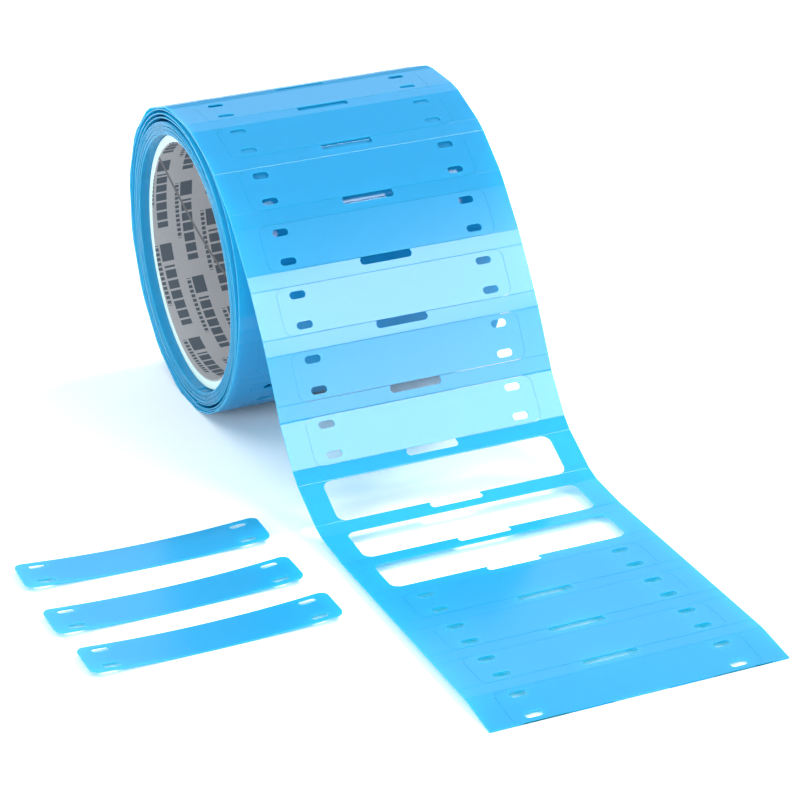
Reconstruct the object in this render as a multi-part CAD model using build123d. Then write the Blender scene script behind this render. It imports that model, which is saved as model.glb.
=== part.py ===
from build123d import *

import os
from collections import namedtuple
from math import asin, cos, degrees, radians, sin

# Roll of die-cut cable-marker tags. A long strip of plastic film, wound on a board core, carries one tag per
# row. Its lead falls over the front of the roll in an S and lies on the floor, with three windows emptied.
# Millimetres. The origin is the middle of the core's bore: +X along the roll's axis, +Z up, lead towards -Y.

# Strip: flat facets between perforated lines, one tag facet and one cross bar to a row
strip_width = 90.0
strip_thickness = 0.4
bar_height = 5.0
sensing_slot_length = 17.0
sensing_slot_width = 2.5

# Tags, die cut out of the strip
tag_length = 75.0
tag_height = 15.0
tag_corner_radius = 2.75
kerf = 0.1
tie_slot_length = 5.2
tie_slot_width = 2.4
tie_slot_from_end = 6.7
tie_slot_from_edge = 2.8
window_cusp = 0.4

# Rows of the lead, counted from the crown of the roll
tags_above_windows = 7
emptied_windows = 3
tags_below_windows = 4

# Core and winding
bore_radius = 38.1
liner_thickness = 0.6
board_thickness = 2.4
wrap_thickness = 0.3
core_recess = 3.8
winding_thickness = 6.2
start_tape_width = 70.0
start_tape_angle = 40.0
start_tape_thickness = 0.1
start_tape_pocket = 0.05

# Outermost turn, which lies loose over the back of the winding
crown_gap = 3.0
underside_gap = 0.5
crown_overlap = 3.3
crown_flat = 2.0

# Lead: a tight bend over the front edge, a gentle one as it falls, and a hollow one where it lands
front_bend_radius = 64.0
front_bend_end = 47.0
steepest_slope = 65.0
landing_bend_radius = 48.0
tail_height = 1.9

# Tags that were taken out, lying in front of the roll: middle x, middle y, turn in degrees
loose_tag_places = ((-94.0, -96.0, -1.3), (-94.5, -124.3, 0.6), (-92.7, -149.3, 0.6))

# Sizes that follow from the ones above
liner_outer_radius = bore_radius + liner_thickness
board_outer_radius = liner_outer_radius + board_thickness
core_outer_radius = board_outer_radius + wrap_thickness
winding_radius = core_outer_radius + winding_thickness
core_length = strip_width - 2 * core_recess
row_pitch = tag_height + bar_height
lead_rows = tags_above_windows + emptied_windows + tags_below_windows
half_film = strip_thickness / 2
crown_level = winding_radius + crown_gap + half_film
underside_level = winding_radius + underside_gap + half_film
loose_turn_radius = (crown_level + underside_level) / 2
loose_turn_centre = (crown_level - underside_level) / 2
loose_turn_rows = int(radians(180) * loose_turn_radius / row_pitch) + 1
cut_depth = 4 * strip_thickness

Facet = namedtuple("Facet", "slope corners plane")


def strip_slope(distance, bends):
    """Slope in degrees at a distance past the crown: 0 is level, positive falls towards the front."""
    if distance < 0:
        return degrees(distance / loose_turn_radius)
    distance -= crown_flat
    if distance < 0:
        return 0.0
    for radius, start, end in bends:
        length = radius * radians(abs(end - start))
        if distance < length:
            return start + (end - start) * distance / length
        distance -= length
    return 0.0


def walk_strip(start, distance, heights, bends):
    """Crease points and facet slopes of the strip, from a start point; negative heights walk backwards."""
    creases = [start]
    slopes = []
    for height in heights:
        slope = strip_slope(distance + height / 2, bends)
        y, z = creases[-1]
        creases.append((y - height * cos(radians(slope)), z - height * sin(radians(slope))))
        slopes.append(slope)
        distance += height
    return creases, slopes


def mitre_corners(creases, slopes, index):
    """The strip's outer and inner corner at a crease, on the line that halves the bend."""
    before = slopes[max(index - 1, 0)]
    after = slopes[min(index, len(slopes) - 1)]
    reach = half_film / cos(radians((after - before) / 2))
    middle = radians((before + after) / 2)
    y, z = creases[index]
    across = (-sin(middle) * reach, cos(middle) * reach)
    return (y + across[0], z + across[1]), (y - across[0], z - across[1])


def strip_facets(creases, slopes):
    facets = []
    for index, slope in enumerate(slopes):
        outer_top, inner_top = mitre_corners(creases, slopes, index)
        outer_end, inner_end = mitre_corners(creases, slopes, index + 1)
        (y_top, z_top), (y_end, z_end) = creases[index], creases[index + 1]
        outward = (0, -sin(radians(slope)), cos(radians(slope)))
        middle = (0, (y_top + y_end) / 2, (z_top + z_end) / 2)
        plane = Plane(origin=middle, x_dir=(1, 0, 0), z_dir=outward)
        facets.append(Facet(slope, (outer_top, outer_end, inner_end, inner_top), plane))
    return facets


def lay_strip():
    """Facets of the loose turn, facets of the lead, and the level of the floor that both rest on."""
    turned = crown_overlap / loose_turn_radius
    start = (loose_turn_radius * sin(turned), loose_turn_centre + loose_turn_radius * cos(turned))
    back, back_slopes = walk_strip(start, -crown_overlap, [-bar_height, -tag_height] * loose_turn_rows, ())
    back.reverse()
    back_slopes.reverse()
    loose_turn = strip_facets(back, back_slopes)
    floor = min(z for facet in loose_turn for y, z in facet.corners)

    fall = crown_level - (floor + half_film + tail_height)
    front_drop = front_bend_radius * (1 - cos(radians(front_bend_end)))
    landing_drop = landing_bend_radius * (1 - cos(radians(steepest_slope)))
    gentle_share = cos(radians(front_bend_end)) - cos(radians(steepest_slope))
    gentle_bend_radius = (fall - front_drop - landing_drop) / gentle_share
    bends = (
        (front_bend_radius, 0.0, front_bend_end),
        (gentle_bend_radius, front_bend_end, steepest_slope),
        (landing_bend_radius, steepest_slope, 0.0),
    )
    heights = [tag_height, bar_height] * (lead_rows - 1)
    creases, slopes = walk_strip(start, -crown_overlap, heights, bends)
    y, z = creases[-1]
    tip = asin((z - floor - half_film) / tag_height)
    creases.append((y - tag_height * cos(tip), z - tag_height * sin(tip)))
    slopes.append(degrees(tip))
    joined = strip_facets(back + creases[1:], back_slopes + slopes)
    return joined[:len(loose_turn)], joined[len(loose_turn):], floor


def facet_prism(facet):
    outline = Plane.YZ * make_face(Polyline(*facet.corners, close=True))
    return extrude(outline, strip_width / 2, both=True)


def make_rails(facet):
    """The two side margins beside a tag or a window, with the window's rounded corners."""
    window = RectangleRounded(tag_length, tag_height, tag_corner_radius)
    blunt = tag_length - 2 * (tag_corner_radius - window_cusp)
    window += Rectangle(blunt, 2 * tag_height)
    return facet_prism(facet) - facet.plane * extrude(window, cut_depth, both=True)


def make_bar(facet):
    """The cross bar between two tags. Its sensing slot opens onto the edge of the tag above."""
    slot_middle = (bar_height - sensing_slot_width) / 2
    straight = sensing_slot_length - sensing_slot_width
    slot = Pos(0, slot_middle) * SlotOverall(sensing_slot_length, sensing_slot_width)
    slot += Pos(0, bar_height / 2) * Rectangle(straight, sensing_slot_width)
    return facet_prism(facet) - facet.plane * extrude(slot, cut_depth, both=True)


def make_tag():
    """A flat tag with a pair of tie slots at each end, lying on the XY plane."""
    outline = RectangleRounded(tag_length - 2 * kerf, tag_height - 2 * kerf, tag_corner_radius - kerf)
    slot_x = tag_length / 2 - tie_slot_from_end
    slot_y = tag_height / 2 - tie_slot_from_edge
    for x, y in ((-slot_x, -slot_y), (-slot_x, slot_y), (slot_x, -slot_y), (slot_x, slot_y)):
        outline -= Pos(x, y) * SlotOverall(tie_slot_length, tie_slot_width)
    return extrude(outline, half_film, both=True)


def make_ring(inner_radius, outer_radius, length):
    ring = Circle(outer_radius) - Circle(inner_radius)
    return extrude(Plane.YZ * ring, length / 2, both=True)


def make_start_tape(clearance):
    """Adhesive tape that holds the strip's inner end down on the core."""
    outer_radius = core_outer_radius + start_tape_thickness + clearance
    band = make_ring(core_outer_radius, outer_radius, start_tape_width + 2 * clearance)
    half_width = outer_radius * sin(radians(start_tape_angle) / 2) + clearance
    block = Box(start_tape_width + 2 * clearance, 2 * half_width, 2 * outer_radius)
    return band & Pos(0, 0, outer_radius) * block


def make_winding():
    """The turns still wound on the core, as one ring with a pocket for the start tape."""
    ring = make_ring(core_outer_radius, winding_radius, strip_width)
    return ring - make_start_tape(start_tape_pocket)


def save(name, *solids):
    export_step(Compound(children=list(solids)), f"parts/{name}.step")


def split(shape):
    return [solid for solid in shape.solids()]


def save_loose_turn(loose_turn):
    bars = loose_turn[1::2]
    tag_facets = loose_turn[0::2]
    save("loose_turn_bars", *[solid for facet in bars for solid in split(make_bar(facet))])
    save("loose_turn_rails", *[solid for facet in tag_facets for solid in split(make_rails(facet))])
    save("loose_turn_tags", *[facet.plane * make_tag() for facet in tag_facets])


def save_lead(lead):
    number = 0
    for row, facet in enumerate(lead[0::2], start=1):
        save(f"web_rails_{row:02}", *split(make_rails(facet)))
        emptied = tags_above_windows < row <= tags_above_windows + emptied_windows
        if not emptied:
            number += 1
            save(f"tag_{number:02}", facet.plane * make_tag())
    for row, facet in enumerate(lead[1::2], start=1):
        save(f"web_bar_{row:02}", *split(make_bar(facet)))


def save_loose_tags(floor):
    for number, (x, y, turn) in enumerate(loose_tag_places, start=1):
        place = Pos(x, y, floor + half_film) * Rot(0, 0, turn)
        save(f"loose_tag_{number}", place * make_tag())


def save_core():
    save("core_liner", make_ring(bore_radius, liner_outer_radius, core_length))
    save("core_board", make_ring(liner_outer_radius, board_outer_radius, core_length))
    save("core_wrap", make_ring(board_outer_radius, core_outer_radius, core_length))
    save("start_tape", make_start_tape(0.0))
    save("wound_turns", make_winding())


os.makedirs("parts", exist_ok=True)
loose_turn_facets, lead_facets, floor_level = lay_strip()
save_loose_turn(loose_turn_facets)
save_lead(lead_facets)
save_loose_tags(floor_level)
save_core()
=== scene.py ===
"""Looks of a roll of die-cut cable marker tags: carrier web, tags, winding and board core."""

from math import asin, cos, hypot, pi, radians, sin

import bmesh
import bpy
from bpy.props import FloatProperty, FloatVectorProperty, IntProperty, PointerProperty
from bpy.types import Operator, Panel, PropertyGroup
from mathutils import Matrix, Vector


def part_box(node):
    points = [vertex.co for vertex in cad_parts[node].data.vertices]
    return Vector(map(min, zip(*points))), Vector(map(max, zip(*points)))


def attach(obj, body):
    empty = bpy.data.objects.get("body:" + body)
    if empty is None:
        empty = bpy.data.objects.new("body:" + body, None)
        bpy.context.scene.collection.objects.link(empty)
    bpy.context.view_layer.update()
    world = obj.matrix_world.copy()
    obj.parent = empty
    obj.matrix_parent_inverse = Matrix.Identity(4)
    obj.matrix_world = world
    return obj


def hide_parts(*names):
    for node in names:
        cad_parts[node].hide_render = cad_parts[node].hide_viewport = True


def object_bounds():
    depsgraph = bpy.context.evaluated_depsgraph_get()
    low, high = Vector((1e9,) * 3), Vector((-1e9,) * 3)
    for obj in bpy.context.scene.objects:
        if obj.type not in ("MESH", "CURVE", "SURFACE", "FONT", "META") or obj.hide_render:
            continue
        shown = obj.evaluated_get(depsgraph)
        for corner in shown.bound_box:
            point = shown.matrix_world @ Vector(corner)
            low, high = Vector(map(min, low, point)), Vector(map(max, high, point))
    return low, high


bl_info = {
    "name": "Marker Tag Roll",
    "version": (1, 0, 0),
    "blender": (4, 5, 0),
    "location": "View3D > Sidebar > Tag Roll",
    "description": "Dresses a roll of die-cut marker tags: film, tags, winding, core and studio",
    "category": "Object",
}

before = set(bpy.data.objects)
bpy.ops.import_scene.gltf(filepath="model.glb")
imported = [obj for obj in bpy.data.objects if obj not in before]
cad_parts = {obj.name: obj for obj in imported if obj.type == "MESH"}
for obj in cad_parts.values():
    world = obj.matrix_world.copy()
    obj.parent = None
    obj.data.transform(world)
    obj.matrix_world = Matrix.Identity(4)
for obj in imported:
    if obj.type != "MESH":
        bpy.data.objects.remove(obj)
CAD_BOX = [tuple(corner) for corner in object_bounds()]
MM = 0.001
TURN = 2 * pi
TINY = 1e-6  # two places closer than this are the same
TAG_CUTS = (0.2, 0.4, 0.6, 0.8)  # shares of a tag's height at which the film is cut across, so that it can bend
SLOT_ROUNDING = 0.999  # a slot's ends are rounded by just under half its width, so that no edge vanishes

# Each softbox: (degrees round from the front, degrees up), distance, (width, height); lengths in metres.
SOFTBOXES = {
    "key": ((110, 48), 3.5, (0.85, 0.85)),
    "back": ((148, 31), 2.0, (1.4, 1.1)),
    "front": ((27, 38.75), 1.2, (0.36, 0.37)),
    "low": ((22.5, 22), 1.2, (0.32, 0.21)),
    "side": ((-58, 15), 1.5, (0.9, 0.6)),
    "top": ((-100, 66), 2.5, (2.4, 2.4)),
}


def length(name, description, default, low=0.0):
    return FloatProperty(
        name=name, description=description, default=default, min=low, unit="LENGTH", precision=5
    )


def angle(name, description, degrees_default):
    return FloatProperty(name=name, description=description, default=radians(degrees_default), subtype="ANGLE")


def colour(name, description, default):
    return FloatVectorProperty(
        name=name, description=description, default=default, subtype="COLOR", size=3, min=0.0, max=1.0
    )


class StripSizes(PropertyGroup):
    """Sizes of the die-cut strip and its tags."""

    width: length("Strip width", "Across the web, along the roll", 90 * MM)
    thickness: length("Film thickness", "Thickness of the web and the tags", 0.4 * MM)
    tag_length: length("Tag length", "Along the roll", 75 * MM)
    tag_height: length("Tag height", "Along the strip", 15 * MM)
    tag_corner: length("Tag corner radius", "Corner of a tag and its window", 2.75 * MM)
    bar_height: length("Bar height", "Web left between two tags", 5 * MM)
    kerf: length("Kerf", "Cut round a tag", 0.1 * MM)
    slot_length: length("Tie slot length", "Slot in a tag's end", 5.2 * MM)
    slot_width: length("Tie slot width", "Slot in a tag's end", 2.4 * MM)
    slot_from_end: length("Tie slot from end", "Slot middle to the tag's end", 6.7 * MM)
    slot_from_edge: length("Tie slot from edge", "Slot middle to the tag's long edge", 2.8 * MM)
    sensing_length: length("Sensing slot length", "Slot in each bar", 17 * MM)
    sensing_width: length("Sensing slot width", "Slot in each bar", 2.5 * MM)
    score_depth: length("Score depth", "Groove along a tag's long edges", 0.07 * MM)
    score_width: length("Score width", "Half width of that groove", 0.12 * MM)
    crease: length("Crease", "Half the strip that bends at a score line", 0.35 * MM)


class LeadSizes(PropertyGroup):
    """How the lead leaves the roll and falls to the floor."""

    tags_above: IntProperty(name="Tags above", description="Tags left above the empty windows", default=7)
    windows: IntProperty(name="Empty windows", description="Rows whose tags were taken out", default=3)
    tags_below: IntProperty(name="Tags below", description="Tags left below the empty windows", default=4)
    loose_rows: IntProperty(name="Loose rows", description="Rows of the outermost turn", default=8)
    crown_level: length("Crown level", "Film's middle above the axis, over the crown", 50.8 * MM)
    underside_level: length("Underside level", "Film's middle below the axis, under the roll", 48.3 * MM)
    crown_overlap: length("Crown overlap", "The lead's first row starts this far behind the crown", 3.3 * MM)
    crown_flat: length("Crown flat", "Level film past the crown", 2.0 * MM)
    front_radius: length("Front bend radius", "Tight bend over the front", 64 * MM)
    front_end: angle("Front bend end", "Slope where the tight bend ends", 47)
    steepest: angle("Steepest slope", "Slope of the fall at its steepest", 65)
    landing_radius: length("Landing radius", "Hollow bend where the lead lands", 48 * MM)
    tail_height: length("Tail height", "Underside of the tail above the floor", 1.9 * MM)
    tag_curl: length("Tag curl", "Rise of a loose tag's ends", 1.6 * MM)
    tag_turns: FloatVectorProperty(
        name="Tag turns",
        description="Bearing of each loose tag on the floor",
        default=(radians(-1.3), radians(0.6), radians(0.6)),
        size=3,
        unit="ROTATION",
    )


class RollSizes(PropertyGroup):
    """Sizes of the winding and the core."""

    loose_turns: IntProperty(name="Loose turns", description="Turns that have sprung apart", default=3)
    tight_turns: IntProperty(name="Tight turns", description="Turns wound hard on the core", default=11)
    tight_radius: length("Tight radius", "Outside of the hard winding", 46.0 * MM)
    loose_start: length("Loose start", "Film's middle where the loose turns start", 46.4 * MM)
    loose_end: length("Loose end", "Film's middle where they join the outermost turn", 48.1 * MM)
    crown_slack: length("Crown slack", "How far each loose turn lifts at the crown", 0.8 * MM)
    bulge: length("Bulge", "How far the last loose turn follows the lead off the roll", 4.0 * MM)
    dish: length("Dish", "How far the inner turns sit back in the left end", 0.7 * MM)
    wander: length("Wander", "Waviness of the turns' edges", 0.22 * MM)
    ply: length("Board ply", "Thickness of one ply of the board", 0.4 * MM)
    liner: length("Liner", "Thickness of the printed liner", 0.6 * MM)
    print_pitch: length("Print pitch", "Between two rows of the liner's print", 8.6 * MM)
    print_columns: IntProperty(
        name="Print columns", description="Marks of the print round the liner", default=7
    )


class Finishes(PropertyGroup):
    """Colours of the roll and the studio."""

    film: colour("Film", "Blue film, lit", (0.042, 0.360, 0.650))
    film_glow: colour("Film glow", "Light that comes through the film", (0.0, 0.84, 0.96))
    # Board tint: the board's own cream with painted blue reflection of the film mixed in, which makes it cyan.
    board: colour("Board", "Core board", (0.60, 0.74, 0.70))
    liner: colour("Liner", "Grey paper inside the core", (0.33, 0.32, 0.33))
    ink: colour("Ink", "Print on the liner", (0.040, 0.055, 0.075))
    floor: colour("Floor", "Studio floor", (0.93, 0.93, 0.93))


class StudioSizes(PropertyGroup):
    """Camera and lights."""

    azimuth: angle("Azimuth", "Camera's bearing about the roll", -23.15)
    elevation: angle("Elevation", "Camera's height angle", 24.82)
    tilt: angle("Tilt", "Camera's roll about its own axis", -1.27)
    distance: length("Distance", "Camera from the aim plane", 0.9773)
    aim_right: length("Aim right", "Aim point, right of the roll in the view", 0.02739, -1.0)
    aim_up: length("Aim up", "Aim point, above the roll's foot in the view", -0.00777, -1.0)
    lens: FloatProperty(name="Lens", description="Focal length in millimetres", default=133.0)
    sky: FloatProperty(name="Sky", description="Strength of the surroundings", default=0.58)
    sky_tint: colour("Sky tint", "Colour of the surroundings", (0.60, 0.88, 1.0))
    key: FloatProperty(name="Key", description="Power of the softbox behind the right end", default=105.0)
    back: FloatProperty(name="Back", description="Power of the softbox mirrored in the level film", default=4.8)
    front: FloatProperty(name="Front", description="Power of the softbox mirrored in the fall", default=4.6)
    low: FloatProperty(name="Low", description="Power of the low front softbox", default=1.3)
    side: FloatProperty(name="Side", description="Power of the softbox at the left end", default=16.0)
    top: FloatProperty(name="Top", description="Power of the large softbox overhead", default=36.0)


class TagRollSettings(PropertyGroup):
    """All the settings of the roll."""

    strip: PointerProperty(type=StripSizes)
    lead: PointerProperty(type=LeadSizes)
    roll: PointerProperty(type=RollSizes)
    finish: PointerProperty(type=Finishes)
    studio: PointerProperty(type=StudioSizes)


def settings():
    return bpy.context.scene.tag_roll


# ---------------------------------------------------------------------------------------------- modelling


def deselect_all():
    bpy.ops.object.select_all(action="DESELECT")


def make_active(piece):
    deselect_all()
    piece.select_set(True)
    bpy.context.view_layer.objects.active = piece


def block(name, low, high):
    """A box between two corners, with its place in its mesh."""
    deselect_all()
    middle = [(a + b) / 2 for a, b in zip(low, high)]
    size = [b - a for a, b in zip(low, high)]
    bpy.ops.mesh.primitive_cube_add(size=1, location=middle, scale=size)
    bpy.ops.object.transform_apply(location=True, rotation=True, scale=True)
    piece = bpy.context.object
    piece.name = name
    return piece


def pick(piece, kind, test):
    """In edit mode, selects the vertices, edges or faces that pass a test."""
    mesh = bmesh.from_edit_mesh(piece.data)
    bpy.ops.mesh.select_mode(type={"verts": "VERT", "edges": "EDGE", "faces": "FACE"}[kind])
    bpy.ops.mesh.select_all(action="DESELECT")
    for item in getattr(mesh, kind):
        if test(item):
            item.select_set(True)
    mesh.select_flush_mode()
    bmesh.update_edit_mesh(piece.data)


def edit(piece):
    make_active(piece)
    bpy.ops.object.mode_set(mode="EDIT")


def leave_edit():
    bpy.ops.object.mode_set(mode="OBJECT")


def round_uprights(piece, radius, segments=7):
    """Rounds the four corner edges of a box that run through the film."""
    edit(piece)
    pick(piece, "edges", lambda e: abs(e.verts[0].co.y - e.verts[1].co.y) > TINY)
    bpy.ops.mesh.bevel(offset=radius, segments=segments, affect="EDGES")
    leave_edit()


def cut_away(piece, cutter):
    modifier = piece.modifiers.new("cut", "BOOLEAN")
    modifier.operation = "DIFFERENCE"
    modifier.solver = "EXACT"
    modifier.object = cutter
    make_active(piece)
    bpy.ops.object.modifier_apply(modifier=modifier.name)
    bpy.data.objects.remove(cutter)


def slice_along(piece, places):
    """Cuts loops across the strip at distances along it, so that it can bend there."""
    edit(piece)
    for place in places:
        bpy.ops.mesh.select_all(action="SELECT")
        bpy.ops.mesh.bisect(plane_co=(place, 0, 0), plane_no=(1, 0, 0))
    leave_edit()


def copy_piece(piece, name):
    twin = piece.copy()
    twin.data = piece.data.copy()
    twin.name = name
    bpy.context.scene.collection.objects.link(twin)
    return twin


def shift_mesh(piece, offset):
    piece.data.transform(Matrix.Translation(offset))


def join(name, pieces):
    deselect_all()
    for piece in pieces:
        piece.select_set(True)
    bpy.context.view_layer.objects.active = pieces[0]
    if len(pieces) > 1:
        bpy.ops.object.join()
    pieces[0].name = name
    return pieces[0]


def smooth(piece, limit=30):
    make_active(piece)
    bpy.ops.object.shade_smooth_by_angle(angle=radians(limit))


def guide_curve(name, points):
    """A curve for the film to follow, drawn in plan: roll's Y and Z as X and Y, and the roll's X as Z."""
    data = bpy.data.curves.new(name, "CURVE")
    data.dimensions = "3D"
    data.twist_mode = "Z_UP"
    data.use_path = True
    spline = data.splines.new("POLY")
    spline.points.add(len(points) - 1)
    for point, place in zip(spline.points, points):
        point.co = (*place, 1.0)
    guide = bpy.data.objects.new(name, data)
    bpy.context.scene.collection.objects.link(guide)
    return guide


def bend_along(piece, guide):
    """Lays a flat strip along a guide and turns it from plan to the roll's own axes."""
    modifier = piece.modifiers.new("bend", "CURVE")
    modifier.object = guide
    modifier.deform_axis = "POS_X"
    make_active(piece)
    bpy.ops.object.modifier_apply(modifier=modifier.name)
    piece.data.transform(Matrix.Rotation(pi / 2, 4, "Z") @ Matrix.Rotation(pi / 2, 4, "X"))


# ------------------------------------------------------------------------------------- line of the strip


def fall_slope(distance, bends):
    """Slope in radians past the crown: 0 is level, positive falls towards the front."""
    lead = settings().lead
    if distance < 0:
        return distance / loose_radius()
    distance -= lead.crown_flat
    if distance < 0:
        return 0.0
    for radius, start, end in bends:
        run = radius * abs(end - start)
        if distance < run:
            return start + (end - start) * distance / run
        distance -= run
    return 0.0


def loose_radius():
    lead = settings().lead
    return (lead.crown_level + lead.underside_level) / 2


def row_pitch():
    return settings().strip.tag_height + settings().strip.bar_height


def lead_bends():
    """Radius and slopes of the lead's three bends; the middle one takes up the height that is left."""
    lead = settings().lead
    floor = CAD_BOX[0][2]
    fall = lead.crown_level - floor - settings().strip.thickness / 2 - lead.tail_height
    front_drop = lead.front_radius * (1 - cos(lead.front_end))
    landing_drop = lead.landing_radius * (1 - cos(lead.steepest))
    gentle = (fall - front_drop - landing_drop) / (cos(lead.front_end) - cos(lead.steepest))
    return (
        (lead.front_radius, 0.0, lead.front_end),
        (gentle, lead.front_end, lead.steepest),
        (lead.landing_radius, lead.steepest, 0.0),
    )


def lead_rows():
    lead = settings().lead
    return lead.tags_above + lead.windows + lead.tags_below


def facet_slopes():
    """(start, end, slope) of every flat facet, from the outermost turn to the strip's end."""
    strip, lead = settings().strip, settings().lead
    bends = lead_bends()
    facets = []
    for row in range(-lead.loose_rows, lead_rows()):
        start = row * row_pitch() - lead.crown_overlap
        for height in (strip.tag_height, strip.bar_height):
            facets.append((start, start + height, fall_slope(start + height / 2, bends)))
            start += height
    facets.pop()
    start, end, _ = facets[-1]
    tip = asin(lead.tail_height / strip.tag_height)
    facets[-1] = (start, end, tip)
    return facets


def strip_line(step=0.2 * MM):
    """Guide points of the lead and the outermost turn."""
    lead, crease = settings().lead, settings().strip.crease
    facets = facet_slopes()
    first = facets[0][0]
    count = round((facets[-1][1] - first) / step)
    slopes = []
    index = 0
    for number in range(count):
        place = first + (number + 0.5) * step
        while place > facets[index][1] and index < len(facets) - 1:
            index += 1
        start, end, slope = facets[index]
        if place - start < crease and index > 0:
            share = 0.5 + (place - start) / (2 * crease)
            slope = facets[index - 1][2] * (1 - share) + slope * share
        elif end - place < crease and index < len(facets) - 1:
            share = 0.5 + (end - place) / (2 * crease)
            slope = facets[index + 1][2] * (1 - share) + slope * share
        slopes.append(slope)
    y, z = 0.0, 0.0
    points = [(y, z)]
    for slope in slopes:
        y -= cos(slope) * step
        z -= sin(slope) * step
        points.append((y, z))
    turned = lead.crown_overlap / loose_radius()
    anchor = points[round((-lead.crown_overlap - first) / step)]
    centre = (lead.crown_level - lead.underside_level) / 2
    move_y = loose_radius() * sin(turned) - anchor[0]
    move_z = centre + loose_radius() * cos(turned) - anchor[1]
    return [(y + move_y, z + move_z, 0.0) for y, z in points]


def spiral_line(start_radius, end_radius, turns, end_angle, crown_slack, bulge, offset, steps=120):
    """Guide points of a winding; angles run from the back, over the crown, to the front.

    Each turn lifts at the crown, and the last one also bulges under the lead.
    """
    roll = settings().roll
    lift_middle, bulge_middle, bulge_reach = radians(100), radians(145), radians(60)
    points = []
    for number in range(round(turns * steps) + 1):
        done = number / steps
        theta = end_angle - (turns - done) * TURN
        lifted = (1 + cos(theta - lift_middle)) / 2
        radius = start_radius + (end_radius - start_radius) * done / turns + crown_slack * done * lifted
        off_bulge = (theta - end_angle + TURN) % TURN - ((bulge_middle - end_angle + TURN) % TURN)
        if turns - done < 1 and abs(off_bulge) < bulge_reach:
            radius += bulge * cos(off_bulge * 1.5) ** 2  # falls to nothing at the reach
        sway = roll.wander * (sin(theta * 1.3) + 0.6 * sin(theta * 3.7 + 1.0)) / 1.6
        points.append((radius * cos(theta), radius * sin(theta), offset(done / turns) + sway))
    return points


def line_length(points):
    return sum(hypot(b[0] - a[0], b[1] - a[1], b[2] - a[2]) for a, b in zip(points, points[1:]))


# ------------------------------------------------------------------------------------------- film pieces


def row_of_web():
    """One flat row of the carrier web: window, sensing slot and score grooves. X runs along the strip."""
    strip = settings().strip
    half, pitch, height = strip.thickness / 2, row_pitch(), strip.tag_height
    lap = strip.bar_height / 4
    web = block("web_row", (-lap, -half, -strip.width / 2), (pitch - lap, half, strip.width / 2))
    near = (-strip.crease, -strip.score_width, 0.0, strip.score_width, strip.crease)
    places = [edge + offset for edge in (0.0, height) for offset in near]
    places += [height * share for share in TAG_CUTS]
    places += [height + strip.bar_height / 2]
    slice_along(web, [place for place in places if -lap < place < pitch - lap])
    edit(web)
    for edge in (0.0, height):
        pick(web, "verts", lambda v: abs(v.co.x - edge) < TINY and v.co.y < 0)
        bpy.ops.transform.translate(value=(0, strip.score_depth, 0))
    leave_edit()

    reach = 2 * strip.thickness
    half_tag = strip.tag_length / 2
    window = block("window", (0, -reach, -half_tag), (height, reach, half_tag))
    round_uprights(window, strip.tag_corner)
    cut_away(web, window)
    half_slot = strip.sensing_length / 2
    slot = block("slot", (height, -reach, -half_slot), (height + strip.sensing_width, reach, half_slot))
    round_uprights(slot, strip.sensing_width / 2 * SLOT_ROUNDING)
    cut_away(web, slot)
    straight = half_slot - 0.3 * MM
    depth = 0.5 * MM  # how far the mouth, which joins slot and window, reaches into the slot
    mouth = block("mouth", (height - lap, -reach, -straight), (height + depth, reach, straight))
    cut_away(web, mouth)
    edit(web)
    ends = (-lap, pitch - lap)
    pick(web, "faces", lambda f: all(min(abs(v.co.x - end) for end in ends) < TINY for v in f.verts))
    bpy.ops.mesh.delete(type="FACE")
    leave_edit()
    return web


def run_of_web(name, row, rows, start, end):
    """Rows of web in one flat strip, trimmed to a start and an end and closed there."""
    web = copy_piece(row, name)
    array = web.modifiers.new("rows", "ARRAY")
    array.count = rows + 1
    array.use_relative_offset = False
    array.use_constant_offset = True
    array.constant_offset_displace = (row_pitch(), 0, 0)
    array.use_merge_vertices = True
    array.merge_threshold = 0.01 * MM
    make_active(web)
    bpy.ops.object.modifier_apply(modifier=array.name)
    edit(web)
    bpy.ops.mesh.select_all(action="SELECT")
    bpy.ops.mesh.bisect(plane_co=(start, 0, 0), plane_no=(1, 0, 0), use_fill=True, clear_inner=True)
    bpy.ops.mesh.select_all(action="SELECT")
    bpy.ops.mesh.bisect(plane_co=(end, 0, 0), plane_no=(1, 0, 0), use_fill=True, clear_outer=True)
    leave_edit()
    return web


def flat_tag():
    """One tag, flat, from X = 0 along the strip: rounded corners and two tie slots at each end."""
    strip = settings().strip
    half, kerf = strip.thickness / 2, strip.kerf
    half_tag = strip.tag_length / 2 - kerf
    tag = block("tag", (kerf, -half, -half_tag), (strip.tag_height - kerf, half, half_tag))
    round_uprights(tag, strip.tag_corner - kerf)
    slice_along(tag, [strip.tag_height * share for share in TAG_CUTS])
    reach = 2 * strip.thickness
    middle_z = strip.tag_length / 2 - strip.slot_from_end
    for x in (strip.slot_from_edge, strip.tag_height - strip.slot_from_edge):
        for z in (-middle_z, middle_z):
            low = (x - strip.slot_width / 2, -reach, z - strip.slot_length / 2)
            high = (x + strip.slot_width / 2, reach, z + strip.slot_length / 2)
            slot = block("slot", low, high)
            round_uprights(slot, strip.slot_width / 2 * SLOT_ROUNDING)
            cut_away(tag, slot)
    return tag


def curl_ends(tag, rise):
    """Cuts a flat tag into short lengths along Z and bends it, so that its ends rise towards +Y."""
    half = settings().strip.tag_length / 2
    lengths = 30
    whole_bend = 4 * rise / half  # angle from end to end of a shallow arc
    edit(tag)
    for number in range(1, lengths):
        bpy.ops.mesh.select_all(action="SELECT")
        bpy.ops.mesh.bisect(plane_co=(0, 0, half * (2 * number / lengths - 1)), plane_no=(0, 0, 1))
    leave_edit()
    modifier = tag.modifiers.new("curl", "SIMPLE_DEFORM")
    modifier.deform_method = "BEND"
    modifier.deform_axis = "X"
    modifier.angle = whole_bend
    make_active(tag)
    bpy.ops.object.modifier_apply(modifier=modifier.name)


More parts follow.
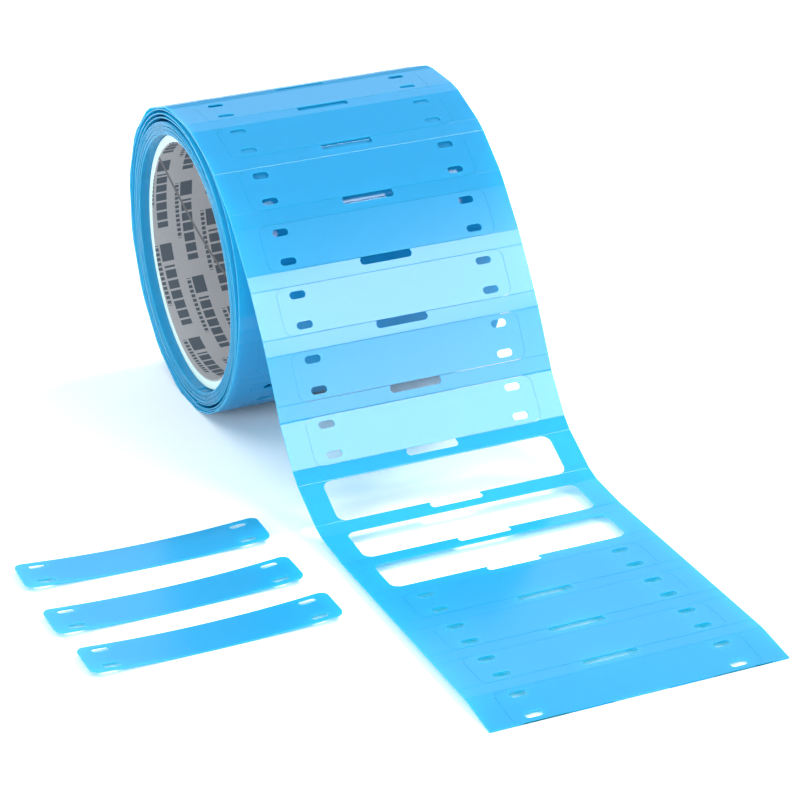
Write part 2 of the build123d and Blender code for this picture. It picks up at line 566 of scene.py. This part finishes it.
def place_tag(tag, name, place, guide):
    piece = copy_piece(tag, name)
    shift_mesh(piece, (place, 0, 0))
    bend_along(piece, guide)
    return piece


def finish_film(piece, body, slot, *nodes):
    smooth(piece)
    piece.data.materials.clear()
    piece.data.materials.append(film_material())
    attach(piece, body)
    if nodes:
        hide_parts(*nodes)


# -------------------------------------------------------------------------------------------- materials


def new_material(name):
    material = bpy.data.materials.new(name)
    material.use_nodes = True
    nodes = material.node_tree.nodes
    shader = nodes["Principled BSDF"]
    return material, material.node_tree, shader


def link(tree, source, output, target, socket):
    tree.links.new(source.outputs[output], target.inputs[socket])


def node(tree, kind, **values):
    item = tree.nodes.new(kind)
    for key, value in values.items():
        if hasattr(item, key):
            setattr(item, key, value)
        else:
            item.inputs[key].default_value = value
    return item


def film_material():
    """Satin blue film: a fine mottle, faint drawn lines across the web, and light through its thickness."""
    ready = bpy.data.materials.get("blue_film")
    if ready:
        return ready
    finish = settings().finish
    material, tree, shader = new_material("blue_film")
    place = node(tree, "ShaderNodeTexCoord")
    mottle = node(tree, "ShaderNodeTexNoise", Scale=260.0, Detail=3.0, Roughness=0.6)
    link(tree, place, "Object", mottle, "Vector")
    tint = node(tree, "ShaderNodeMix", data_type="RGBA")
    tint.inputs["A"].default_value = (*[channel * 0.95 for channel in finish.film], 1)
    tint.inputs["B"].default_value = (*[min(1.0, channel * 1.05) for channel in finish.film], 1)
    link(tree, mottle, "Fac", tint, "Factor")
    link(tree, tint, "Result", shader, "Base Color")
    stretch = node(tree, "ShaderNodeMapping")
    stretch.inputs["Scale"].default_value = (1400.0, 60.0, 60.0)
    link(tree, place, "Object", stretch, "Vector")
    drawn = node(tree, "ShaderNodeTexNoise", Scale=1.0, Detail=2.0)
    link(tree, stretch, "Vector", drawn, "Vector")
    bump = node(tree, "ShaderNodeBump", Strength=0.05, Distance=0.0002)
    link(tree, drawn, "Fac", bump, "Height")
    link(tree, bump, "Normal", shader, "Normal")
    shader.inputs["Roughness"].default_value = 0.16
    shader.inputs["IOR"].default_value = 1.7
    through = node(tree, "ShaderNodeBsdfTranslucent")
    through.inputs["Color"].default_value = (*finish.film_glow, 1)
    blend = node(tree, "ShaderNodeMixShader", Fac=0.5)
    tree.links.new(shader.outputs[0], blend.inputs[1])
    tree.links.new(through.outputs[0], blend.inputs[2])
    tree.links.new(blend.outputs[0], tree.nodes["Material Output"].inputs["Surface"])
    return material


def board_material(name, tint):
    """Dull board with short fibres."""
    material, tree, shader = new_material(name)
    place = node(tree, "ShaderNodeTexCoord")
    fibre = node(tree, "ShaderNodeTexNoise", Scale=900.0, Detail=5.0, Roughness=0.7)
    link(tree, place, "Object", fibre, "Vector")
    # The tint passed in is the board's cream with painted blue reflection of the film mixed in.
    shade = node(tree, "ShaderNodeMix", data_type="RGBA")
    shade.inputs["A"].default_value = (*[channel * 0.86 for channel in tint], 1)
    shade.inputs["B"].default_value = (*[min(1.0, channel * 1.08) for channel in tint], 1)
    link(tree, fibre, "Fac", shade, "Factor")
    link(tree, shade, "Result", shader, "Base Color")
    bump = node(tree, "ShaderNodeBump", Strength=0.25, Distance=0.0001)
    link(tree, fibre, "Fac", bump, "Height")
    link(tree, bump, "Normal", shader, "Normal")
    shader.inputs["Roughness"].default_value = 0.85
    return material


def math_node(tree, operation, first, second=None, third=None):
    item = node(tree, "ShaderNodeMath", operation=operation)
    for socket, value in zip(item.inputs, (first, second, third)):
        if value is None:
            continue
        if isinstance(value, (int, float)):
            socket.default_value = value
        else:
            tree.links.new(value, socket)
    return item.outputs[0]


def mark(tree, across, along, middle, half):
    """1 inside a rectangle of a print tile, 0 outside; across and along run from 0 to 1."""
    inside = []
    for value, centre, reach in zip((across, along), middle, half):
        away = math_node(tree, "ABSOLUTE", math_node(tree, "SUBTRACT", value, centre))
        inside.append(math_node(tree, "LESS_THAN", away, reach))
    return math_node(tree, "MULTIPLY", *inside)


def liner_material():
    """Grey paper, wound on a slant, printed with slanted rows of plain blocks, and its butted seam."""
    roll, finish = settings().roll, settings().finish
    radius = liner_radius()
    round_it = TURN * radius
    row_height = roll.print_pitch
    slant = -asin(row_height / round_it)
    column = round_it * cos(slant) / roll.print_columns
    material, tree, shader = new_material("printed_liner")
    place = node(tree, "ShaderNodeTexCoord")
    parts = node(tree, "ShaderNodeSeparateXYZ")
    link(tree, place, "Object", parts, "Vector")
    theta = math_node(tree, "ARCTAN2", parts.outputs["Z"], parts.outputs["Y"])
    arc = math_node(tree, "MULTIPLY", theta, radius)
    along = math_node(tree, "MULTIPLY_ADD", arc, cos(slant) / column,
                      math_node(tree, "MULTIPLY", parts.outputs["X"], sin(slant) / column))
    across = math_node(tree, "MULTIPLY_ADD", parts.outputs["X"], cos(slant) / row_height,
                       math_node(tree, "MULTIPLY", arc, -sin(slant) / row_height))
    row_number = math_node(tree, "FLOOR", across)
    row_shift = 0.37
    along = math_node(tree, "MULTIPLY_ADD", row_number, row_shift, along)
    tile_along = math_node(tree, "FRACT", along)
    tile_across = math_node(tree, "FRACT", across)
    block_mark = mark(tree, tile_along, tile_across, (0.88, 0.60), (0.085, 0.24))
    bars = mark(tree, tile_along, tile_across, (0.44, 0.60), (0.31, 0.21))
    bars_per_tile, bar_share = 9.6, 0.80
    bar_place = math_node(tree, "FRACT", math_node(tree, "MULTIPLY", tile_along, bars_per_tile))
    bars = math_node(tree, "MULTIPLY", bars, math_node(tree, "LESS_THAN", bar_place, bar_share))
    dashes = mark(tree, tile_along, tile_across, (0.66, 0.22), (0.30, 0.075))
    dashes_per_tile, dash_share = 21.0, 0.68
    dash_place = math_node(tree, "FRACT", math_node(tree, "MULTIPLY", tile_along, dashes_per_tile))
    dashes = math_node(tree, "MULTIPLY", dashes, math_node(tree, "LESS_THAN", dash_place, dash_share))
    printed = math_node(tree, "MAXIMUM", math_node(tree, "MAXIMUM", block_mark, bars), dashes)
    lean = radians(24)
    seam_start, seam_share, ink_cover = 0.27, 0.007, 0.92
    lap = round_it * sin(lean)
    seam_place = math_node(tree, "MULTIPLY_ADD", parts.outputs["X"], cos(lean) / lap,
                           math_node(tree, "MULTIPLY_ADD", arc, sin(lean) / lap, seam_start))
    seam = math_node(tree, "LESS_THAN", math_node(tree, "FRACT", seam_place), seam_share)
    speck = node(tree, "ShaderNodeTexNoise", Scale=1500.0, Detail=4.0, Roughness=0.7)
    link(tree, place, "Object", speck, "Vector")
    paper = node(tree, "ShaderNodeMix", data_type="RGBA")
    paper.inputs["A"].default_value = (*[channel * 0.85 for channel in finish.liner], 1)
    paper.inputs["B"].default_value = (*[channel * 1.15 for channel in finish.liner], 1)
    link(tree, speck, "Fac", paper, "Factor")
    inked = node(tree, "ShaderNodeMix", data_type="RGBA")
    inked.inputs["B"].default_value = (*finish.ink, 1)
    link(tree, paper, "Result", inked, "A")
    tree.links.new(math_node(tree, "MULTIPLY", printed, ink_cover), inked.inputs["Factor"])
    seamed = node(tree, "ShaderNodeMix", data_type="RGBA")
    seamed.inputs["B"].default_value = (*[channel * 0.45 for channel in finish.liner], 1)
    link(tree, inked, "Result", seamed, "A")
    tree.links.new(seam, seamed.inputs["Factor"])
    link(tree, seamed, "Result", shader, "Base Color")
    shader.inputs["Roughness"].default_value = 0.7
    return material


def floor_material():
    material, _, shader = new_material("studio_floor")
    shader.inputs["Base Color"].default_value = (*settings().finish.floor, 1)
    shader.inputs["Roughness"].default_value = 0.9
    shader.inputs["Specular IOR Level"].default_value = 0.1
    return material


# ------------------------------------------------------------------------------------------------- core


def liner_radius():
    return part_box("core_liner")[1][2] - settings().roll.liner


def wall_tube(name, inner, outer, half_length, plies):
    """A tube turned from its wall's section: rounded rims, and a groove in the end between plies."""
    groove_half_width, groove_depth, rim_radius, spin_steps = 0.045 * MM, 0.12 * MM, 0.12 * MM, 160
    wall = block(name, (-half_length, 0, inner), (half_length, 0, outer))
    edit(wall)
    bpy.ops.mesh.remove_doubles(threshold=TINY)
    pick(wall, "faces", lambda f: True)
    bpy.ops.mesh.delete(type="ONLY_FACE")
    bpy.ops.mesh.select_mode(type="EDGE")
    for number in range(1, plies):
        radius = inner + (outer - inner) * number / plies
        for offset in (-groove_half_width, 0.0, groove_half_width):
            bpy.ops.mesh.select_all(action="SELECT")
            bpy.ops.mesh.bisect(plane_co=(0, 0, radius + offset), plane_no=(0, 0, 1))
    for number in range(1, plies):
        radius = inner + (outer - inner) * number / plies
        for side in (-1, 1):
            pick(wall, "verts", lambda v: abs(v.co.z - radius) < TINY and v.co.x * side > 0)
            bpy.ops.transform.translate(value=(-side * groove_depth, 0, 0))
    pick(wall, "verts", lambda v: min(abs(v.co.z - inner), abs(v.co.z - outer)) < TINY)
    bpy.ops.mesh.bevel(offset=rim_radius, segments=2, affect="VERTICES")
    bpy.ops.mesh.select_all(action="SELECT")
    bpy.ops.mesh.spin(steps=spin_steps, angle=TURN, center=(0, 0, 0), axis=(1, 0, 0))
    bpy.ops.mesh.select_all(action="SELECT")
    bpy.ops.mesh.remove_doubles(threshold=TINY)
    bpy.ops.mesh.normals_make_consistent(inside=False)
    leave_edit()
    smooth(wall, 35)
    return wall


# -------------------------------------------------------------------------------------------- operators


class TAGROLL_OT_web(Operator):
    """Carrier web: the lead and the outermost turn, with windows, sensing slots and score lines"""

    bl_idname = "tagroll.web"
    bl_label = "Carrier web"

    def execute(self, context):
        lead = settings().lead
        row = row_of_web()
        rows = lead.loose_rows + lead_rows()
        end = rows * row_pitch() - settings().strip.bar_height
        web = run_of_web("carrier_web", row, rows, 0.0, end)
        guide = guide_curve("strip_line", strip_line())
        bend_along(web, guide)
        bpy.data.objects.remove(row)
        bpy.data.objects.remove(guide)
        rails = [f"web_rails_{number:02}" for number in range(1, lead_rows() + 1)]
        bars = [f"web_bar_{number:02}" for number in range(1, lead_rows())]
        finish_film(web, "web", "strip", *rails, *bars, "loose_turn_rails", "loose_turn_bars")
        return {"FINISHED"}


class TAGROLL_OT_tags(Operator):
    """Tags still in the lead and in the outermost turn"""

    bl_idname = "tagroll.tags"
    bl_label = "Tags in the web"

    def execute(self, context):
        lead = settings().lead
        tag = flat_tag()
        guide = guide_curve("strip_line", strip_line())
        turn = []
        for row in range(lead.loose_rows):
            turn.append(place_tag(tag, "turn_tag", row * row_pitch(), guide))
        finish_film(join("loose_turn_tag_set", turn), "web", "tag", "loose_turn_tags")
        number = 0
        for row in range(lead_rows()):
            if lead.tags_above <= row < lead.tags_above + lead.windows:
                continue
            number += 1
            place = (lead.loose_rows + row) * row_pitch()
            piece = place_tag(tag, f"marker_tag_{number:02}", place, guide)
            finish_film(piece, f"tag_{number:02}", "tag", f"tag_{number:02}")
        bpy.data.objects.remove(tag)
        bpy.data.objects.remove(guide)
        return {"FINISHED"}


class TAGROLL_OT_loose_tags(Operator):
    """Tags taken out of the windows, lying curled on the floor"""

    bl_idname = "tagroll.loose_tags"
    bl_label = "Loose tags"

    def execute(self, context):
        strip, lead = settings().strip, settings().lead
        tag = flat_tag()
        shift_mesh(tag, (-strip.tag_height / 2, 0, 0))
        curl_ends(tag, lead.tag_curl)
        tag.data.transform(Matrix.Rotation(pi / 2, 4, "Z") @ Matrix.Rotation(pi / 2, 4, "X"))
        for number, turn in enumerate(lead.tag_turns, 1):
            name = f"loose_tag_{number}"
            low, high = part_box(name)
            middle = (Vector(low) + Vector(high)) / 2
            piece = copy_piece(tag, f"curled_tag_{number}")
            piece.data.transform(Matrix.Translation(middle) @ Matrix.Rotation(turn, 4, "Z"))
            finish_film(piece, name, "tag", name)
        bpy.data.objects.remove(tag)
        return {"FINISHED"}


class TAGROLL_OT_winding(Operator):
    """Turns of film on the core: the hard winding, which turns, and the loose turns round it"""

    bl_idname = "tagroll.winding"
    bl_label = "Winding"

    def execute(self, context):
        roll, strip = settings().roll, settings().strip
        end_angle = pi / 2 - strip_start_turn()
        half = strip.thickness / 2
        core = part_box("core_wrap")[1][2]
        dished = roll.dish * 0.55  # dish where the hard winding ends and the loose turns start
        thinned = half * 0.86  # leaves a hairline of air between the hard turns
        slices_per_turn = 60
        tight = spiral_line(
            core + half, roll.tight_radius - half, roll.tight_turns, end_angle, 0.0, 0.0,
            lambda done: dished + (roll.dish - dished) * (1 - done),
        )
        run = line_length(tight)
        film = block("hard_winding", (0, -thinned, -strip.width / 2), (run, thinned, strip.width / 2))
        slices = roll.tight_turns * slices_per_turn
        slice_along(film, [run * number / slices for number in range(1, slices)])
        guide = guide_curve("tight_line", tight)
        bend_along(film, guide)
        bpy.data.objects.remove(guide)
        finish_film(film, "roll", "winding", "wound_turns")

        loose = spiral_line(
            roll.loose_start, roll.loose_end, roll.loose_turns, end_angle, roll.crown_slack, roll.bulge,
            lambda done: dished * (1 - done),
        )
        run = line_length(loose)
        rows = int(run / row_pitch()) + 1
        row = row_of_web()
        web = run_of_web("loose_turns", row, rows, rows * row_pitch() - run, rows * row_pitch())
        shift_mesh(web, (run - rows * row_pitch(), 0, 0))
        guide = guide_curve("loose_line", loose)
        bend_along(web, guide)
        tag = flat_tag()
        tags = []
        for number in range(1, rows):
            tags.append(place_tag(tag, "turn_tag", run - number * row_pitch(), guide))
        finish_film(web, "web", "winding")
        finish_film(join("loose_turns_tag_set", tags), "web", "winding")
        for scrap in (row, tag, guide):
            bpy.data.objects.remove(scrap)
        return {"FINISHED"}


def strip_start_turn():
    """Angle from the crown back to where the outermost turn starts."""
    lead = settings().lead
    run = lead.loose_rows * row_pitch() + lead.crown_overlap
    return run / loose_radius()


class TAGROLL_OT_core(Operator):
    """Board core, its outer ply and its printed paper liner"""

    bl_idname = "tagroll.core"
    bl_label = "Core"

    def execute(self, context):
        roll, finish = settings().roll, settings().finish
        half_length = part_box("core_board")[1][0]
        liner_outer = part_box("core_liner")[1][2]
        board_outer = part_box("core_board")[1][2]
        wrap_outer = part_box("core_wrap")[1][2]
        plies = round((board_outer - liner_outer) / roll.ply)
        pieces = (
            ("liner_ply", liner_radius(), liner_outer, 1, liner_material(), "liner", "core_liner"),
            # Board tube and outer ply take the board tint, which holds painted blue reflection of the film.
            ("board_tube", liner_outer, board_outer, plies, board_material("core_board_paper", finish.board),
             "board", "core_board"),
            ("outer_ply", board_outer, wrap_outer, 1, board_material("outer_ply_paper", finish.board), "wrap",
             "core_wrap"),
        )
        for name, inner, outer, count, material, slot, cad_node in pieces:
            tube = wall_tube(name, inner, outer, half_length, count)
            tube.data.materials.clear()
            tube.data.materials.append(material)
            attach(tube, "roll")
            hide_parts(cad_node)
        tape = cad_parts["start_tape"]
        tape.data.materials.clear()
        # The tape takes the same board tint, with its painted blue reflection of the film.
        tape.data.materials.append(board_material("tape_paper", finish.board))
        return {"FINISHED"}


class TAGROLL_OT_stage(Operator):
    """White studio: floor, softboxes and camera"""

    bl_idname = "tagroll.stage"
    bl_label = "Studio"

    def execute(self, context):
        studio = settings().studio
        floor_level = CAD_BOX[0][2]
        deselect_all()
        floor_size, floor_gap = 8, 0.05 * MM
        bpy.ops.mesh.primitive_plane_add(size=floor_size, location=(0, 0, floor_level - floor_gap))
        bpy.ops.object.transform_apply(location=True, rotation=True, scale=True)
        floor = context.object
        floor.name = "studio_floor"
        floor.data.materials.append(floor_material())

        world = bpy.data.worlds.new("studio_world")
        world.use_nodes = True
        sky = world.node_tree.nodes["Background"]
        sky.inputs["Color"].default_value = (*studio.sky_tint, 1)
        sky.inputs["Strength"].default_value = studio.sky
        context.scene.world = world
        for name, (bearing, distance, size) in SOFTBOXES.items():
            softbox(f"{name}_softbox", bearing, distance, size, getattr(studio, name))
        add_camera(studio, floor_level)
        context.scene.view_settings.view_transform = "Standard"
        return {"FINISHED"}


def softbox(name, bearing, distance, size, power):
    """A rectangular lamp aimed at the roll; bearing is degrees round from the front and degrees up."""
    data = bpy.data.lights.new(name, "AREA")
    data.shape = "RECTANGLE"
    data.size, data.size_y = size
    data.energy = power
    light = bpy.data.objects.new(name, data)
    bpy.context.scene.collection.objects.link(light)
    round_it, up = radians(bearing[0]), radians(bearing[1])
    direction = Vector((sin(round_it) * cos(up), -cos(round_it) * cos(up), sin(up)))
    light.location = direction * distance
    light.rotation_euler = direction.to_track_quat("Z", "Y").to_euler()


def add_camera(studio, floor_level):
    azimuth, elevation, tilt = studio.azimuth, studio.elevation, studio.tilt
    back = Vector((sin(azimuth) * cos(elevation), -cos(azimuth) * cos(elevation), sin(elevation)))
    level = Vector((cos(azimuth), sin(azimuth), 0.0))
    upright = back.cross(level)
    right = level * cos(tilt) + upright * sin(tilt)
    up = upright * cos(tilt) - level * sin(tilt)
    data = bpy.data.cameras.new("studio_camera")
    data.lens = studio.lens
    data.clip_end = 20
    camera = bpy.data.objects.new("studio_camera", data)
    bpy.context.scene.collection.objects.link(camera)
    place = right * studio.aim_right + up * studio.aim_up + back * studio.distance
    camera.location = place + Vector((0, 0, floor_level))
    camera.rotation_euler = Matrix((right, up, back)).transposed().to_euler()
    bpy.context.scene.camera = camera


class TAGROLL_PT_panel(Panel):
    """Lists the steps that dress the roll"""

    bl_idname = "TAGROLL_PT_panel"
    bl_label = "Marker tag roll"
    bl_space_type = "VIEW_3D"
    bl_region_type = "UI"
    bl_category = "Tag Roll"

    def draw(self, context):
        for step in STEPS:
            self.layout.operator(step.bl_idname)
        for group in ("strip", "lead", "roll", "finish", "studio"):
            values = getattr(context.scene.tag_roll, group)
            column = self.layout.column(heading=group.title())
            for name in values.__annotations__:
                column.prop(values, name)


STEPS = (
    TAGROLL_OT_web,
    TAGROLL_OT_tags,
    TAGROLL_OT_loose_tags,
    TAGROLL_OT_winding,
    TAGROLL_OT_core,
    TAGROLL_OT_stage,
)
GROUPS = (StripSizes, LeadSizes, RollSizes, Finishes, StudioSizes, TagRollSettings)


def register():
    for cls in (*GROUPS, *STEPS, TAGROLL_PT_panel):
        bpy.utils.register_class(cls)
    bpy.types.Scene.tag_roll = PointerProperty(type=TagRollSettings)


def unregister():
    del bpy.types.Scene.tag_roll
    for cls in reversed((*GROUPS, *STEPS, TAGROLL_PT_panel)):
        bpy.utils.unregister_class(cls)


def main():
    register()
    bpy.ops.tagroll.web()
    bpy.ops.tagroll.tags()
    bpy.ops.tagroll.loose_tags()
    bpy.ops.tagroll.winding()
    bpy.ops.tagroll.core()
    bpy.ops.tagroll.stage()


if __name__ == "__main__":
    main()
